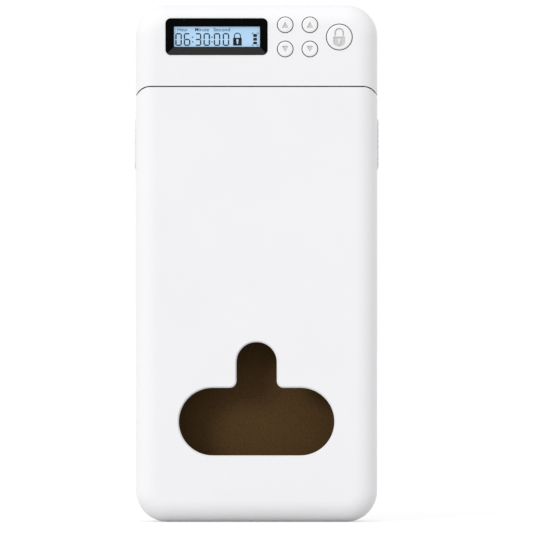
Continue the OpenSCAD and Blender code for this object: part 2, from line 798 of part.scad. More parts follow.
// Ribs round the battery on the inside of the rear shell
module battery_cradle() {
  rib = 1;
  rib_depth = 4;
  for (s = [-1, 1])
    translate([cell_x + s * (cell_w / 2 + soft_clearance + rib / 2) - rib / 2, inner_back_y - rib_depth,
      cell_z0 + 1])
      cube([rib, rib_depth + root, cell_h - 2]);
}

module button_hole(p, d) {
  translate([p[0], inner_front_y + 3, p[1]]) rotate([90, 0, 0])
    cylinder(h = shell_wall + 5, d = d + 2 * button_gap);
}

// The ring inside the shell that a button's flange rests on
module button_ring(p, d) {
  translate([p[0], 0, p[1]]) between_y(inner_front_y - root, inner_front_y + button_seat)
    circle(d = flange_d(d));
}

// The floor of the cap: it carries the bolts, their guides and the latch bridge
module cap_base_plate() color("gainsboro") difference() {
  union() {
    translate([0, mid_y, plate_z0]) linear_extrude(plate_t)
      rounded_rect(2 * (inner_x - 0.1), body_d - 2 * (shell_wall + 0.1), edge_r - shell_wall - 0.1);
    for (sx = [-1, 1]) translate([sx * (guide_x + guide_l / 2), mid_y, plate_z1 - eps]) bolt_guide();
  }
  for (sx = [-1, 1])
    translate([sx * (striker_x + striker_t / 2), mid_y, plate_z0 + plate_t / 2])
      cube([striker_t + 2 * slide_gap, striker_w + 2 * slide_gap, plate_t + 2], center = true);
  for (sx = [-1, 1])
    for (sy = [-1, 1]) {
      translate([sx * boss_x, mid_y + sy * boss_y, plate_z0]) countersunk_hole(plate_t + 1);
      translate([sx * bridge_screw[0], mid_y + sy * bridge_screw[1], plate_z0])
        countersunk_hole(plate_t + 1, latch_screw_d, latch_screw_head_d);
    }
  translate([0, mid_y, plate_z1 - bush_l]) cylinder(h = bush_l + 1, d = bush_d + 2 * screw_fit);
}

// An arch over the head of a bolt
module bolt_guide() {
  high = bridge_z1 - plate_z1;
  wall = 1.3;
  inside = bolt_w + 2 * slide_gap;
  rotate([90, 0, 90]) linear_extrude(guide_l, center = true) difference() {
    translate([-inside / 2 - wall, 0]) square([inside + 2 * wall, high]);
    translate([-inside / 2, -1]) square([inside, bridge_z0 - plate_z1 + 1]);
  }
}

module base_plate_screws() color("dimgray")
  for (sx = [-1, 1])
    for (sy = [-1, 1])
      translate([sx * boss_x, mid_y + sy * boss_y, plate_z0]) countersunk_screw(plate_t + boss_h - 0.7);

// ---------- display ----------

module at_display(y0, y1) {
  translate([display_x, 0, display_z]) between_y(y0, y1) children();
}

module display_bezel() color("#17181a") difference() {
  union() {
    at_display(bezel_face_y, bezel_seat_y) rounded_rect(bezel_w, bezel_h, bezel_r);
    at_display(bezel_seat_y - eps, lcd_back_y)
      rounded_rect(bezel_w - 2 * bezel_flange, bezel_h - 2 * bezel_flange, bezel_r - bezel_flange);
  }
  at_display(bezel_face_y - 1, lcd_back_y) square([lcd_view_w, lcd_view_h], center = true);
  at_display(lens_y, lcd_back_y + 1)
    square([glass_w + 2 * glass_fit, glass_h + 2 * glass_fit], center = true);
  bezel_slope_cut();
}

// The borders of the bezel slope in from its rim to the window: two wedges that cross at the mitres
module bezel_slope_cut() {
  translate([display_x, bezel_face_y, display_z]) intersection() {
    linear_extrude(bezel_h, center = true) slope_section(bezel_w / 2, lcd_view_w / 2);
    rotate([0, 90, 0]) linear_extrude(bezel_w, center = true) slope_section(bezel_h / 2, lcd_view_h / 2);
  }
}

// A section through the slopes, from the rim at the front to the edge of the window behind
module slope_section(outer, inner) {
  rim = outer - bezel_rim;
  polygon([
    [-rim, -eps], [rim, -eps], [rim, 0], [inner, bezel_slope], [-inner, bezel_slope], [-rim, 0]
  ]);
}

module display_lens() color("lightcyan", 0.4)
  at_display(lens_y, lcd_y) square([glass_w, glass_h], center = true);

module lcd_panel() color("#aacdeb")
  at_display(lcd_y, lcd_back_y) square([glass_w, glass_h], center = true);

module backlight() color("white")
  translate([0, 0, (strip_h + 0.2) / 2]) at_display(lcd_back_y, board_y)
    square([glass_w, glass_h - strip_h - 0.2], center = true);

module contact_strip() color("#d86a9a")
  translate([0, 0, -(glass_h - strip_h) / 2]) at_display(lcd_back_y, board_y)
    square([glass_w - 1, strip_h], center = true);

// ---------- buttons and board ----------

function flange_d(d) = d + 2 * (button_gap + button_flange);

// A button in place: cap, flange behind the shell wall and stem on the switch
module button(p, d, flange_h) {
  translate([p[0], 0, p[1]]) {
    translate([0, flange_y, 0]) rotate([90, 0, 0]) rotate_extrude() button_section(d);
    between_y(flange_y - eps, flange_y + button_flange_t) intersection() {
      circle(d = flange_d(d));
      square([2 * d, flange_h], center = true);
    }
    between_y(flange_y, stem_end_y) circle(d = plunger_d + 0.8);
  }
}

module button_section(d) {
  high = flange_y - front_y + button_proud;
  square([d / 2 - button_round, high]);
  square([d / 2, high - button_round]);
  translate([d / 2 - button_round, high - button_round]) circle(r = button_round);
}

module plunger(p) color("#2b2b2e")
  translate([p[0], 0, p[1]]) between_y(stem_end_y, board_y - button_travel - 0.15) circle(d = plunger_d);

module hour_up_button() color("white") button([hour_x, up_z], small_button_d, small_flange_h);
module hour_down_button() color("white") button([hour_x, down_z], small_button_d, small_flange_h);
module minute_up_button() color("white") button([minute_x, up_z], small_button_d, small_flange_h);
module minute_down_button() color("white") button([minute_x, down_z], small_button_d, small_flange_h);
module lock_button() color("white") button([lock_x, lock_z], lock_button_d, 2 * lock_button_d);
module hour_up_plunger() plunger([hour_x, up_z]);
module hour_down_plunger() plunger([hour_x, down_z]);
module minute_up_plunger() plunger([minute_x, up_z]);
module minute_down_plunger() plunger([minute_x, down_z]);
module lock_plunger() plunger([lock_x, lock_z]);

module switch_bodies() color("silver")
  for (p = all_switches)
    translate([p[0], 0, p[1]]) between_y(board_y - switch_h, board_y) difference() {
      rounded_rect(switch_w, switch_w, 0.4);
      circle(d = plunger_d + 2 * plunger_fit);
    }

module main_board() color("darkgreen") difference() {
  between_y(board_y, board_back_y) {
    translate([0, (board_z0 + board_z1) / 2]) rounded_rect(2 * board_x, board_h, 1);
    translate([board_tab[0], board_tab[1]]) square([-board_x - board_tab[0] + 1, board_tab[2]]);
  }
  for (p = board_screw_places)
    translate([p[0], board_back_y + 1, p[1]]) rotate([90, 0, 0])
      cylinder(h = board_t + 2, d = screw_d + 2 * screw_fit);
}

module board_screws() color("dimgray")
  for (p = board_screw_places) {
    translate([p[0], board_back_y, p[1]]) rotate([90, 0, 0])
      cylinder(h = board_t + board_y - inner_front_y - 0.3, d = screw_d);
    translate([p[0], 0, p[1]]) between_y(board_back_y, board_back_y + 0.8) circle(d = screw_head_d - 0.4);
  }

// A rectangular part on the back of the board
module on_board(x, z, size) {
  translate([x - size[0] / 2, board_back_y, z - size[2] / 2]) cube(size);
}

module controller_chip() color("#202022") on_board(chip_side - side_x, display_z, [chip_w, 1.2, chip_w]);

module crystal() color("silver")
  translate([crystal_side - side_x, board_back_y + crystal[1] / 2, display_z])
    cylinder(h = crystal[0], d = crystal[1], center = true);

module buzzer() color("#202022")
  translate([side_x - buzzer_side, 0, display_z + 1.2])
    between_y(board_back_y, board_back_y + buzzer_h) difference() {
      circle(d = buzzer_d);
      circle(d = 1.8);
    }

// A fork over the tip of the left striker
module closure_sensor() color("#202022") {
  slot = striker_t + 0.9;
  outer = striker_outer_x + 0.45 + 1;
  translate([-outer, mid_y - 1.5, bridge_z1]) difference() {
    cube([outer - guide_x - 1, 3, striker_z1 - bridge_z1 + 1.9]);
    translate([1, -1, -1]) cube([slot, 5, striker_z1 - bridge_z1 + 1.8]);
  }
}

module charging_socket() color("silver") {
  z1 = body_h - socket_drop;
  floor_t = 1;
  translate([socket_x, board_back_y + socket_t / 2, z1 - socket_l]) difference() {
    linear_extrude(socket_l) rounded_rect(socket_w, socket_t, socket_t / 2 - eps);
    translate([0, 0, floor_t]) linear_extrude(socket_l)
      rounded_rect(socket_w - 2 * socket_wall, socket_t - 2 * socket_wall, socket_t / 2 - socket_wall - eps);
  }
  translate([socket_x, board_back_y + socket_t / 2, z1 - socket_l + floor_t - eps])
    linear_extrude(socket_l - 2 * floor_t) square([socket_w - 2.3, socket_tongue_t], center = true);
}

module lead_connectors() color("ivory")
  for (z = connector_z) on_board(connector_x, z, connector);

module battery_cell() color("silver")
  translate([cell_x, 0, cell_z0 + cell_h / 2]) between_y(cell_front_y, cell_back_y)
    rounded_rect(cell_w, cell_h, 1.2);

module battery_tape() color("white")
  translate([cell_x, 0, cell_z0 + cell_h / 2]) between_y(cell_back_y, inner_back_y)
    square([cell_w - 2 * tape_margin, cell_h - 2 * tape_margin], center = true);

// A wire along a Bezier curve from p[0] to p[3], which starts towards p[1] and arrives from p[2]
module lead(p) {
  steps = 10;
  sides = 10;
  rings = [
    for (i = [0 : steps])
      let (t = i / steps, u = 1 - t,
        middle = u^3 * p[0] + 3 * u^2 * t * p[1] + 3 * u * t^2 * p[2] + t^3 * p[3],
        along = u^2 * (p[1] - p[0]) + 2 * u * t * (p[2] - p[1]) + t^2 * (p[3] - p[2]),
        across = cross([0, 0, 1], along) / norm(along))
      for (k = [0 : sides - 1])
        let (a = k * 360 / sides) middle + lead_d / 2 * (cos(a) * across + sin(a) * [0, 0, 1])
  ];
  walls = [
    for (i = [0 : steps - 1]) for (k = [0 : sides - 1])
      let (a = i * sides + k, b = i * sides + (k + 1) % sides)
      each [[a, b, b + sides], [a, b + sides, a + sides]]
  ];
  ends = [[for (k = [0 : sides - 1]) sides - 1 - k], [for (k = [0 : sides - 1]) steps * sides + k]];
  polyhedron(points = rings, faces = concat(walls, ends));
}

// The pair of leads of one connector, from a start on mid-height of the pair
module lead_pair(start, bow, z) {
  connector_end = [connector_x + connector[0] / 2, board_back_y + connector[1] / 2];
  for (s = [-1, 1])
    translate([0, 0, z + s * 0.75]) lead([
      [start[0], start[1], 0], [start[0] + bow[0], start[1], 0],
      [connector_end[0] + bow[1], connector_end[1], 0], [connector_end[0], connector_end[1], 0]
    ]);
}

module battery_leads() color("firebrick")
  lead_pair([cell_x + cell_w / 2, cell_front_y + 0.8], [3, 3], connector_z[0]);

module motor_leads() color("royalblue")
  lead_pair([-motor_d / 2, mid_y], [-2.6, 2.2], connector_z[1]);

// ---------- lock ----------

// The pinion: involute flanks between the root and tip circles
function involute(r) = let (a = acos(base_r / r)) tan(a) * 180 / PI - a;
function tooth_half(r) = (tooth_pitch / 2 - backlash / 2) / pitch_r / 2 * 180 / PI
  + involute(pitch_r) - involute(max(r, base_r));
function polar(r, a) = [r * cos(a), r * sin(a)];
function flank(a, s) = [
  for (i = [0 : 4]) let (r = root_r + (tip_r - root_r) * (s < 0 ? i : 4 - i) / 4)
    polar(r, a + s * tooth_half(r))
];

module pinion() color("goldenrod")
  translate([0, mid_y, bolt_z0]) linear_extrude(bolt_t) difference() {
    polygon([
      for (k = [0 : pinion_teeth - 1])
        for (s = [-1, 1]) each flank(90 + k * 360 / pinion_teeth, s)
    ]);
    shaft_section();
  }

// A round shaft with a flat
module shaft_section() {
  difference() {
    circle(d = shaft_d);
    translate([shaft_d * 0.35, -shaft_d / 2]) square(shaft_d);
  }
}

module output_shaft() color("silver") translate([0, mid_y, 0]) {
  translate([0, 0, bolt_z0]) linear_extrude(bolt_t) shaft_section();
  translate([0, 0, plate_z1 - bush_l]) cylinder(h = bush_l + bolt_float, d = shaft_d);
  translate([0, 0, bolt_z1]) cylinder(h = bridge_z1 - bolt_z1 + shaft_seat, d = shaft_d);
}

module shaft_bush() color("peru")
  translate([0, mid_y, plate_z1 - bush_l]) linear_extrude(bush_l) difference() {
    circle(d = bush_d);
    circle(d = shaft_d + 2 * shaft_fit);
  }

// The toothed edge of a rack: trapezoid teeth about the pitch line, with a gap at x = 0
module rack_teeth(first, last) {
  half = (tooth_pitch / 2 - backlash / 2) / 2;
  tip_half = half - addendum * gear_module * tan(pressure_angle);
  root_half = half + dedendum * gear_module * tan(pressure_angle);
  for (k = [first : last])
    translate([(k + 0.5) * tooth_pitch, 0]) polygon([
      [-root_half, -rack_root_y - eps], [root_half, -rack_root_y - eps],
      [tip_half, -rack_tip_y], [-tip_half, -rack_tip_y]
    ]);
}

// The right bolt in plan: rack bar in front of the pinion, arm, and head behind the striker
module bolt_plan() {
  teeth_back = ceil(bolt_travel / tooth_pitch) + 2;
  bar_end_x = -(teeth_back + 0.3) * tooth_pitch;
  head = bolt_w / 2;
  neck = rack_tip_y - slide_gap;
  neck_end_x = slide_gap - bar_end_x;
  rack_teeth(-teeth_back, 1);
  difference() {
    polygon([
      [bar_end_x, -rack_back_y], [arm_wide_end_x - 3, -rack_back_y], [arm_wide_end_x, -head],
      [open_x - bolt_chamfer, -head], [open_x, -head + bolt_chamfer],
      [open_x, head - bolt_chamfer], [open_x - bolt_chamfer, head],
      [neck_end_x + head - neck, head], [neck_end_x, neck], [arm_x + 1, neck], [arm_x, neck - 1],
      [arm_x, -rack_root_y], [bar_end_x, -rack_root_y]
    ]);
    translate([(arm_x + arm_wide_end_x) / 2, -1]) square([arm_wide_end_x - arm_x - 8, 4], center = true);
  }
}

module bolt_right() color("lightsteelblue")
  translate([0, mid_y, bolt_z0]) linear_extrude(bolt_t) bolt_plan();

module bolt_left() color("lightsteelblue")
  translate([0, mid_y, bolt_z0]) rotate(180) linear_extrude(bolt_t) bolt_plan();

// A bridge over the pinion, whose rails guide the rack bars
module latch_bridge() color("gainsboro") difference() {
  translate([0, mid_y, 0]) union() {
    translate([-bridge_x, -bridge_y, bridge_z0]) cube([2 * bridge_x, 2 * bridge_y, bridge_t]);
    for (sy = [-1, 1])
      translate([-bridge_x, sy < 0 ? -bridge_y : rail_y, plate_z1])
        cube([2 * bridge_x, bridge_rail, bridge_z0 - plate_z1 + eps]);
  }
  translate([0, mid_y, bridge_z0 - 1]) cylinder(h = bridge_t + 2, d = shaft_d + 1);
  for (sx = [-1, 1]) {
    for (sy = [-1, 1])
      translate([sx * bridge_screw[0], mid_y + sy * bridge_screw[1], plate_z1 - eps])
        cylinder(h = bridge_z1 - plate_z1 - 0.2, d = latch_screw_d + 2 * screw_fit);
    translate([sx * gearbox_screw_x, mid_y, bridge_z0 - 1]) cylinder(h = bridge_t + 2, d = 1.1);
  }
}

gearbox_screw_x = motor_d / 2 + 1.4;

module bridge_screws() color("dimgray")
  for (sx = [-1, 1])
    for (sy = [-1, 1])
      translate([sx * bridge_screw[0], mid_y + sy * bridge_screw[1], plate_z0])
        countersunk_screw(plate_t + bridge_z1 - plate_z1 - 0.5, latch_screw_d, latch_screw_head_d);

module gearbox() color("darkgray") translate([0, mid_y, 0]) difference() {
  union() {
    translate([0, 0, bridge_z1]) cylinder(h = gearbox_l, d = motor_d);
    translate([0, 0, bridge_z1]) linear_extrude(1) rounded_rect(2 * gearbox_screw_x + 2.4, 4, 1.2);
  }
  translate([0, 0, bridge_z1 - eps]) cylinder(h = shaft_seat + slide_gap, d = shaft_d + 2 * shaft_fit);
  for (sx = [-1, 1])
    translate([sx * gearbox_screw_x, 0, bridge_z1 - eps]) cylinder(h = 1.1, d = 1.1);
}

module gearbox_screws() color("dimgray")
  for (sx = [-1, 1])
    translate([sx * gearbox_screw_x, mid_y, 0]) {
      translate([0, 0, bridge_z0 + 0.05]) cylinder(h = 1 + bridge_t, d = 1);
      translate([0, 0, bridge_z1 + 1]) cylinder(h = 0.5, d = 1.9);
    }

module motor() color("silver") translate([0, mid_y, gearbox_z1]) {
  intersection() {
    cylinder(h = motor_l - 0.4, d = motor_d);
    translate([-motor_d, -motor_d * 0.43, 0]) cube([2 * motor_d, motor_d * 0.86, motor_l]);
  }
  cylinder(h = motor_l, d = 2.6);
}

front_shell();
rear_shell();
inner_sleeve();
grip_left();
grip_right();
back_pad();
base_cushion();
striker_left();
striker_right();
striker_screws();
cap_front_shell();
cap_rear_shell();
cap_base_plate();
base_plate_screws();
display_bezel();
display_lens();
lcd_panel();
backlight();
contact_strip();
main_board();
board_screws();
switch_bodies();
controller_chip();
crystal();
buzzer();
closure_sensor();
charging_socket();
lead_connectors();
battery_cell();
battery_tape();
battery_leads();
latch_bridge();
bridge_screws();
gearbox();
gearbox_screws();
motor();
motor_leads();
shaft_bush();
bolt_left();
bolt_right();
pinion();
output_shaft();
hour_up_button();
hour_down_button();
minute_up_button();
minute_down_button();
lock_button();
hour_up_plunger();
hour_down_plunger();
minute_up_plunger();
minute_down_plunger();
lock_plunger();
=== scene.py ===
"""A timed lock container, dressed for rendering: shells, display, buttons, pads and materials."""
import math

import bmesh
import bpy
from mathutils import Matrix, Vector


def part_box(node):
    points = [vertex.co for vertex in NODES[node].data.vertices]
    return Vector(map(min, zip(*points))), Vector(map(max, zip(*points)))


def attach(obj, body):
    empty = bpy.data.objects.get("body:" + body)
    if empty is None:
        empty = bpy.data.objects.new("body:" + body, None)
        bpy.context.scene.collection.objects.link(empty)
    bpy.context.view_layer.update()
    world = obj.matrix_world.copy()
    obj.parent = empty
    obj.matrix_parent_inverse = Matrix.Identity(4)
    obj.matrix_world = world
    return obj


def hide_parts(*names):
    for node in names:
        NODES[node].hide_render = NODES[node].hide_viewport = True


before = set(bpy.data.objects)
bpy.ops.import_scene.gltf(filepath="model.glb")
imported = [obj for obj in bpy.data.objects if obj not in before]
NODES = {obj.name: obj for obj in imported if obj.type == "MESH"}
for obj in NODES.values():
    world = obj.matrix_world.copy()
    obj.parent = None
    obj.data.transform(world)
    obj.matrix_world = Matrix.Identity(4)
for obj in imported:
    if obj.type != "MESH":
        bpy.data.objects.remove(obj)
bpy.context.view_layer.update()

MM = 0.001

# ---------- driving dimensions, in metres ----------

# Buttons
BUTTON_RIM = 0.85 * MM       # from the cap's side to the flange's edge
FLANGE_DEPTH = 2.6 * MM      # from the shell's front to the flange
FLANGE_T = 0.6 * MM
SMALL_FLANGE_H = 3.6 * MM    # a small button's flange is flat above and below
STEM_R = 1.4 * MM
BUTTON_ROUND = 0.5 * MM      # rounding of the cap's edge
BUTTON_CROWN = 0.05 * MM     # how far the face rises from its edge to its middle
CROWN_SHARES = ((0.8, 0.4), (0.74, 0.0))    # share of the cap's radius, share of the crown left
ICON_DEPTH = 0.45 * MM       # depth of the symbols sunk into the buttons
ICON_SLOPE = 0.26 * MM       # how far a symbol's walls lean in
TRIANGLE_SIZE = 2.6 * MM
TRIANGLE_HALF_H = 0.46       # share of a triangle's size
# the rubber slot is dark: painted shade in the ring gap around each cap
SYMBOL, RUBBER_SHADE = 1, 2        # a button's material slots after the cap's own

# Padlocks, from the symbol's own place: a shackle is (rise, width, height, thickness), a body is
# (rise, width, height, corner radius) and a keyhole is (rise, radius, length)
BUTTON_SHACKLE = (0.4 * MM, 3.7 * MM, 3.1 * MM, 0.62 * MM)
BUTTON_LOCK_BODY = (0.15 * MM, 4.6 * MM, 3.7 * MM, 1.7 * MM)
BUTTON_KEYHOLE = (-1.2 * MM, 0.5 * MM, 1.4 * MM)
DISPLAY_SHACKLE = (0.0, 2.7 * MM, 2.0 * MM, 0.38 * MM)
DISPLAY_LOCK_BODY = (0.0, 3.35 * MM, 3.0 * MM, 0.1 * MM)
DISPLAY_KEYHOLE = (-0.95 * MM, 0.48 * MM, 1.4 * MM)
KEYHOLE_FOOT = 0.55          # half the foot's width, as a share of the hole's radius

# Pads
PAD_EDGE_SHARE = 0.25        # share of a pad's height that its rounded edge takes
PAD_TIP_R = 0.5 * MM         # smallest corner radius, at the middle of a pad
BACK_PAD_CORNER_R = 6 * MM
BACK_PAD_SHOULDER = 0.75     # share of the pad's height where its rounded edge ends
BACK_PAD_CROWN = 12 * MM     # how far in from its sides the pad still rises
BACK_PAD_EDGE = 0.5 * MM
BAY_CORNER_R = 7.45 * MM     # rounding of the bay's floor in front view, less the pad's clearance
BAY_EDGE_R = 2.45 * MM       # rounding of the bay's floor in side view, less the pad's clearance
CUSHION_SHOULDER = 0.55      # share of the cushion's height where its rounded edge starts
CUSHION_CROWN = 4 * MM
CUSHION_EDGE = 0.6 * MM

# Bezel
WINDOW_W = 33.0 * MM
WINDOW_H = 7.75 * MM
WINDOW_SHIFT = 0.14 * MM     # from the bezel's middle to the window's
WINDOW_CORNER_R = 0.15 * MM
BEZEL_T = 1.1 * MM           # thickness of the flange that lies on the shell
BEZEL_FLANGE = 1.2 * MM      # how far the flange reaches past the neck behind it
BEZEL_CORNER_R = 2 * MM
NECK_CORNER_R = 0.8 * MM
BEZEL_ROUND = 0.3 * MM       # rounding of the outer edge
BEZEL_RIM = 0.25 * MM        # flat rim between that edge and the slopes
SLOPE_DEPTH = 0.9 * MM       # how far the bezel slopes in to the glass
LENS_GAP = 0.2 * MM          # how much wider the lens's seat is than the lens

# Display, placed from the panel's middle
INK_THICKNESS = 0.04 * MM
LCD_RECESS = 0.1 * MM        # gap between the lens and the display's own glass
SEGMENT_W = 0.5 * MM
SEGMENT_GAP = 0.12 * MM
DIGIT_W = 2.5 * MM
DIGIT_H = 4.9 * MM
DIGIT_ROW_Z = -1.05 * MM
TIME = (("0", -14.62 * MM), ("6", -11.37 * MM), ("3", -7.12 * MM), ("0", -3.79 * MM),
        ("0", 0.17 * MM), ("0", 3.61 * MM))
COLON_X = (-9.26 * MM, -1.81 * MM)
COLON_Z = (-0.9 * MM, 0.88 * MM)    # from the digits' middle
COLON_R = 0.27 * MM
PADLOCK_X, PADLOCK_Z = 8.02 * MM, -0.4 * MM
BATTERY_X, BATTERY_Z = 14.82 * MM, -0.93 * MM
BATTERY_BAR_W = 1.45 * MM
BATTERY_BARS = ((0.5 * MM, 1.15 * MM), (-0.98 * MM, 1.1 * MM), (-2.4 * MM, 1.0 * MM))    # z, height
BATTERY_BAR_R = 0.15 * MM
MARK_X, MARK_Z = 1.13 * MM, 2.4 * MM    # the battery's four corner marks, from its middle
MARK_STROKE = 0.16 * MM
MARK_UPRIGHT = (0.66 * MM, 0.25 * MM)   # length, shift in from the corner
MARK_LEVEL = (0.5 * MM, 0.35 * MM)
LABELS = (("Hour", -15.02 * MM, 3.88 * MM), ("Minute", -8.24 * MM, 5.35 * MM),
          ("Second", -1.16 * MM, 6.28 * MM))    # word, left edge, width
LABEL_Z = 2.12 * MM
LETTER_H = 1.3 * MM          # height of a capital letter
LETTER_WEIGHT = 0.003        # how much the letters are thickened, as a share of the type's size
DISPLAY_GLOW = 0.56

# Materials, the sizes of their detail
DRIFT_SIZE = 28 * MM         # the slow drift in a moulded surface's tone and gloss
BRUSH_LINE = 0.08 * MM
FOAM_CELL = 0.6 * MM

# Camera
VIEW_WIDTH = 205.5 * MM      # width of the picture at the object
CAMERA_DISTANCE = 3.0
CAMERA_FROM_Y = -4 * MM      # the distance is measured from here
CAMERA_X = 3.8 * MM
CAMERA_Z = 98.37 * MM
SENSOR = 36.0                # in millimetres, as Blender states it

# Light
AMBIENT = 0.922
KEY_LEVEL = 0.352            # brightness that the lamp gives to white paper that faces it
KEY_TOWARDS = (-0.572, -0.772, 0.28)
KEY_SOFTNESS = 20            # the lamp's width in degrees
FLOOR_SIZE = 12
FLOOR_COLOR = 0.59
FLOOR_GLOW = 0.46            # added where the floor is seen directly: it joins the background


# ---------- flat outlines: lists of (x, z), counterclockwise seen from the front ----------

def arc(x, z, radius, start, end, steps):
    """Points on an arc, from the start to the end angle in degrees."""
    turn = math.radians(end - start) / steps
    first = math.radians(start)
    return [(x + radius * math.cos(first + turn * i), z + radius * math.sin(first + turn * i))
            for i in range(steps + 1)]


def circle(x, z, radius, steps=48):
    return arc(x, z, radius, 0, 360, steps)[:-1]


def rounded_rect(x, z, w, h, radius, steps=8):
    right, top = w / 2 - radius, h / 2 - radius
    corners = [(right, -top, -90), (right, top, 0), (-right, top, 90), (-right, -top, 180)]
    return [p for cx, cz, a in corners for p in arc(x + cx, z + cz, radius, a, a + 90, steps)]


def rectangle(x, z, w, h):
    left, right, bottom, top = x - w / 2, x + w / 2, z - h / 2, z + h / 2
    return [(left, bottom), (right, bottom), (right, top), (left, top)]


def inset(outline, distance):
    """The outline moved inwards by a distance, with its corners mitred."""
    moved = []
    count = len(outline)
    for i, point in enumerate(outline):
        here = Vector(point)
        before = (here - Vector(outline[i - 1])).normalized()
        after = (Vector(outline[(i + 1) % count]) - here).normalized()
        in_before = Vector((-before.y, before.x))
        in_after = Vector((-after.y, after.x))
        shift = (in_before + in_after) / (1 + in_before.dot(in_after))
        moved.append(tuple(here + shift * distance))
    return moved


def quarter_round(steps):
    """A rounded edge from its foot to its top: shares of the radius drawn in, and left to rise."""
    angles = [math.pi / 2 * step / steps for step in range(steps + 1)]
    return [(1 - math.cos(angle), 1 - math.sin(angle)) for angle in angles]


def middle_and_size(low, high):
    """The middle of a box in front view, and its width and height."""
    return (low.x + high.x) / 2, (low.z + high.z) / 2, high.x - low.x, high.z - low.z


# ---------- solid forms ----------

class Form:
    """A mesh made of closed loops of points that are joined to each other and filled."""

    def __init__(self):
        self.bm = bmesh.new()

    def loop(self, points):
        return [self.bm.verts.new(p) for p in points]

    def level(self, outline, y):
        return self.loop([(x, y, z) for x, z in outline])

    def bridge(self, first, second):
        count = len(first)
        for i in range(count):
            j = (i + 1) % count
            self.bm.faces.new([first[i], first[j], second[j], second[i]])

    def stack(self, loops):
        for first, second in zip(loops, loops[1:]):
            self.bridge(first, second)

    def fill(self, *loops):
        """Close a flat region bounded by one loop, with any more loops as holes in it."""
        if len(loops) == 1:
            self.bm.faces.new(loops[0])
            return
        edges = []
        for ring in loops:
            for i, vert in enumerate(ring):
                pair = [ring[i - 1], vert]
                edges.append(self.bm.edges.get(pair) or self.bm.edges.new(pair))
        bmesh.ops.triangle_fill(self.bm, use_beauty=True, edges=edges)

    def close(self, loops):
        """A closed form through the loops, with its first and last loop filled."""
        self.stack(loops)
        self.fill(loops[0])
        self.fill(loops[-1])

    def plate(self, outline, front, back):
        """A closed plate between two y."""
        self.close([self.level(outline, back), self.level(outline, front)])

    def sunk(self, outline, islands, top, floor, slope, slot):
        """Add a sunk figure in a material slot, and return its loop left open at the top."""
        before = set(self.bm.faces)
        outer = [self.level(outline, top), self.level(inset(outline, slope), floor)]
        self.stack(outer)
        raised = [[self.level(island, floor), self.level(island, top)] for island in islands]
        for rows in raised:
            self.stack(rows)
        self.fill(outer[1], *[rows[0] for rows in raised])
        for face in set(self.bm.faces) - before:
            face.material_index = slot
        for rows in raised:
            self.fill(rows[1])
        return outer[0]

    def piece(self, name, body, *materials, smooth=40):
        """Turn the form into an object that rides on a body."""
        bmesh.ops.recalc_face_normals(self.bm, faces=self.bm.faces)
        mesh = bpy.data.meshes.new(name)
        self.bm.to_mesh(mesh)
        self.bm.free()
        for material in materials:
            mesh.materials.append(material)
        mesh.shade_smooth()
        mesh.set_sharp_from_angle(angle=math.radians(smooth))
        obj = bpy.data.objects.new(name, mesh)
        bpy.context.scene.collection.objects.link(obj)
        weighted = obj.modifiers.new("weighted_normals", "WEIGHTED_NORMAL")
        weighted.keep_sharp = True
        weighted.weight = 100
        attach(obj, body)
        return obj


# ---------- materials ----------

def add_node(tree, kind, inputs=None, **settings):
    new = tree.nodes.new("ShaderNode" + kind)
    for key, value in settings.items():
        setattr(new, key, value)
    for key, value in (inputs or {}).items():
        if isinstance(value, bpy.types.NodeSocket):
            tree.links.new(value, new.inputs[key])
        else:
            new.inputs[key].default_value = value
    return new


def darker(color, share):
    """A share of a colour."""
    return tuple(c * share for c in color)


class Surface:
    """A Principled material and the procedural detail that is put on it."""

    def __init__(self, name, color, roughness, metallic=0.0, **sockets):
        self.material = bpy.data.materials.new(name)
        self.material.use_nodes = True
        self.tree = self.material.node_tree
        self.shader = self.tree.nodes["Principled BSDF"]
        self.color = color
        self.roughness = roughness
        self.shader.inputs["Base Color"].default_value = (*color, 1)
        self.shader.inputs["Roughness"].default_value = roughness
        self.shader.inputs["Metallic"].default_value = metallic
        for key, value in sockets.items():
            self.shader.inputs[key.replace("_", " ")].default_value = value
        self.place = add_node(self.tree, "TexCoord").outputs["Object"]

    def noise(self, size, detail=2.0, stretch=(1, 1, 1)):
        """Noise whose features are about size metres across, drawn out by a factor on each axis."""
        mapping = add_node(self.tree, "Mapping", {"Vector": self.place,
                                                  "Scale": [1 / s for s in stretch]})
        texture = add_node(self.tree, "TexNoise", {"Vector": mapping.outputs["Vector"],
                                                   "Scale": 1 / size, "Detail": detail})
        return texture.outputs["Fac"]

    def cells(self, size):
        return add_node(self.tree, "TexVoronoi", {"Vector": self.place, "Scale": 1 / size},
                        feature="SMOOTH_F1").outputs["Distance"]

    def color_between(self, other, factor):
        mix = add_node(self.tree, "Mix", data_type="RGBA")
        mix.inputs[6].default_value = (*self.color, 1)
        mix.inputs[7].default_value = (*other, 1)
        self.tree.links.new(factor, mix.inputs[0])
        self.tree.links.new(mix.outputs[2], self.shader.inputs["Base Color"])
        return mix.outputs[2]

    def roughness_between(self, other, factor):
        span = add_node(self.tree, "MapRange", {"Value": factor, "From Min": 0.3, "From Max": 0.7,
                                                "To Min": self.roughness, "To Max": other})
        self.tree.links.new(span.outputs["Result"], self.shader.inputs["Roughness"])

    def bump(self, height, depth, strength=1.0, edge=0.0):
        """Relief from a height, over edges that look rounded by a small radius."""
        bump = add_node(self.tree, "Bump", {"Height": height, "Distance": depth,
                                            "Strength": strength})
        if edge:
            rounded = add_node(self.tree, "Bevel", {"Radius": edge}, samples=6)
            self.tree.links.new(rounded.outputs["Normal"], bump.inputs["Normal"])
        self.tree.links.new(bump.outputs["Normal"], self.shader.inputs["Normal"])


